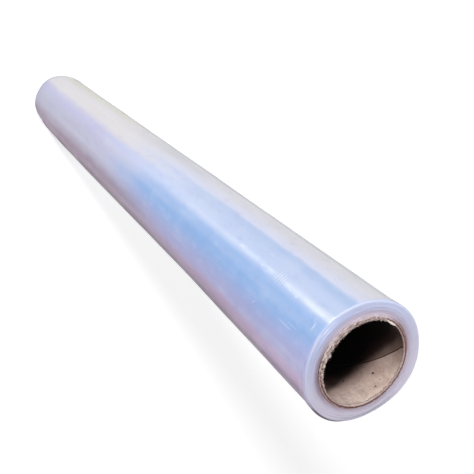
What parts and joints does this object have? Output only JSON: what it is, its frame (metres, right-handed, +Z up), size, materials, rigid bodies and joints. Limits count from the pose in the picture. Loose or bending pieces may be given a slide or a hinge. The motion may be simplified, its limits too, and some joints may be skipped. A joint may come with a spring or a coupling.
{
  "type": "roll of book cover film",
  "caption": "Roll of clear plastic book cover film wound on an open spiral cardboard core, standing on one end.",
  "frame": {"origin": "centre of the lower end face, on the roll's axis, where the roll stands", "axes": "+Z up the roll's axis, -Y towards the side that the picture shows most"},
  "size_m": [0.054, 0.054, 0.5002],
  "materials": {
    "film": "clear film wound in many turns, glossy, pearly pale blue and lilac",
    "board": "bare grey-brown core board, matt, with dark specks and torn fibres at the cut ends"
  },
  "bodies": {
    "root": {"film_roll": "film", "cardboard_core": "board"}
  },
  "joints": []
}
